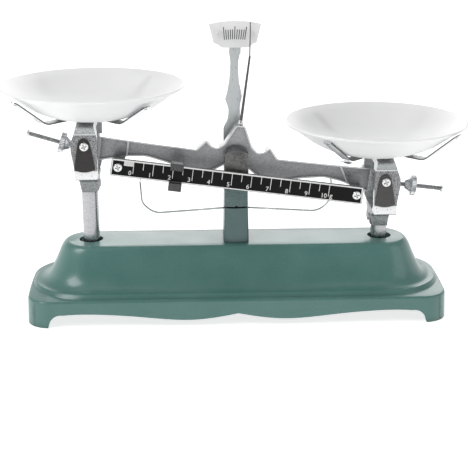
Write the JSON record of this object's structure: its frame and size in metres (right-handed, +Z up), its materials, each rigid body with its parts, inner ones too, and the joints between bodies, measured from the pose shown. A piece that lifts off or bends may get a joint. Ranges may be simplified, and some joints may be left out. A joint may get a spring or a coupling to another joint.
{
  "type": "roberval balance",
  "caption": "Two-pan table balance of the parallelogram type: painted base with pillar, tilting beam with sliding rider and scale bar, pointer and dial, carriers with lift-off pans.",
  "frame": {"origin": "centre of the footprint, on the surface that the four feet stand on; the centre knife edge is straight above it", "axes": "+X along the beam towards the right pan, +Y from the scale face to the back, +Z up"},
  "size_m": [0.3034, 0.12, 0.1886],
  "materials": {
    "base_paint": "satin",
    "fork_metal": "satin",
    "beam_metal": "satin",
    "carrier_metal": "satin",
    "steel": "satin",
    "bright_screw": "polished",
    "column_metal": "satin",
    "cover_dark": "satin",
    "scale_black": "satin",
    "dark_nickel": "satin",
    "pan_plastic": "satin",
    "dial_plastic": "satin",
    "bearing_steel": "polished"
  },
  "bodies": {
    "root": {"base_casting": "base_paint", "pillar": "base_paint", "pillar_bolts": "steel", "bearing_fork": "fork_metal", "fork_screw": "steel", "bearing_hoods": "fork_metal", "centre_bearings": "bearing_steel", "stop_wire": "steel", "dial_column": "column_metal", "column_screws": "bright_screw", "dial_plate": "dial_plastic", "dial_screws": "dial_plastic", "link_hanger": "steel", "hanger_screws": "steel", "link_pivot_pin": "steel"},
    "beam": {"beam_casting": "beam_metal", "centre_knife": "bearing_steel", "left_end_knife": "bearing_steel", "right_end_knife": "bearing_steel", "trim_weight": "dark_nickel", "scale_bar": "scale_black", "scale_screws": "bright_screw", "pointer_ferrule": "bright_screw", "pointer": "steel", "left_adjusting_rod": "steel", "right_adjusting_rod": "steel"},
    "left_carrier": {"left_carrier_frame": "carrier_metal", "left_end_bearings": "bearing_steel", "left_cover_plates": "cover_dark", "left_cover_screws": "bright_screw", "left_pan_cross": "steel", "left_cross_screw": "bright_screw", "left_stem": "carrier_metal", "left_stem_pin": "steel"},
    "right_carrier": {"right_carrier_frame": "carrier_metal", "right_end_bearings": "bearing_steel", "right_cover_plates": "cover_dark", "right_cover_screws": "bright_screw", "right_pan_cross": "steel", "right_cross_screw": "bright_screw", "right_stem": "carrier_metal", "right_stem_pin": "steel"},
    "link": {"check_link": "steel"},
    "left_pan": {"left_pan": "pan_plastic"},
    "right_pan": {"right_pan": "pan_plastic"},
    "rider": {"rider": "dark_nickel"},
    "left_nut": {"left_nut": "carrier_metal"},
    "right_nut": {"right_nut": "carrier_metal"}
  },
  "joints": [
    {"name": "beam_tilt", "type": "hinge", "parent": "root", "child": "beam", "pos_m": [0, 0, 0.0973], "axis": [0, -1, 0], "range_deg": [0, 15.2]},
    {"name": "left_carrier_swing", "type": "hinge", "parent": "beam", "child": "left_carrier", "pos_m": [-0.09589, 0, 0.11009], "axis": [0, -1, 0], "range_deg": [-15.2, 0]},
    {"name": "right_carrier_swing", "type": "hinge", "parent": "beam", "child": "right_carrier", "pos_m": [0.09589, 0, 0.08451], "axis": [0, -1, 0], "range_deg": [-15.2, 0]},
    {"name": "link_tilt", "type": "hinge", "parent": "root", "child": "link", "pos_m": [0, 0, 0.02], "axis": [0, -1, 0], "range_deg": [0, 15.2]},
    {"name": "left_pan_lift", "type": "slide", "parent": "left_carrier", "child": "left_pan", "axis": [0, 0, 1], "range_m": [0, 0.06]},
    {"name": "right_pan_lift", "type": "slide", "parent": "right_carrier", "child": "right_pan", "axis": [0, 0, 1], "range_m": [0, 0.06]},
    {"name": "rider_slide", "type": "slide", "parent": "beam", "child": "rider", "axis": [0.9912, 0, -0.1323], "range_m": [-0.0276, 0.0993]},
    {"name": "left_nut_travel", "type": "slide", "parent": "beam", "child": "left_nut", "axis": [-0.9558, 0, 0.294], "range_m": [-0.0036, 0.019]},
    {"name": "right_nut_travel", "type": "slide", "parent": "beam", "child": "right_nut", "axis": [0.9925, 0, -0.1219], "range_m": [-0.0088, 0.016]}
  ],
  "couplings": [
    {"joint": "left_carrier_swing", "follows": "beam_tilt", "ratio": -1},
    {"joint": "right_carrier_swing", "follows": "beam_tilt", "ratio": -1},
    {"joint": "link_tilt", "follows": "beam_tilt", "ratio": 1}
  ]
}
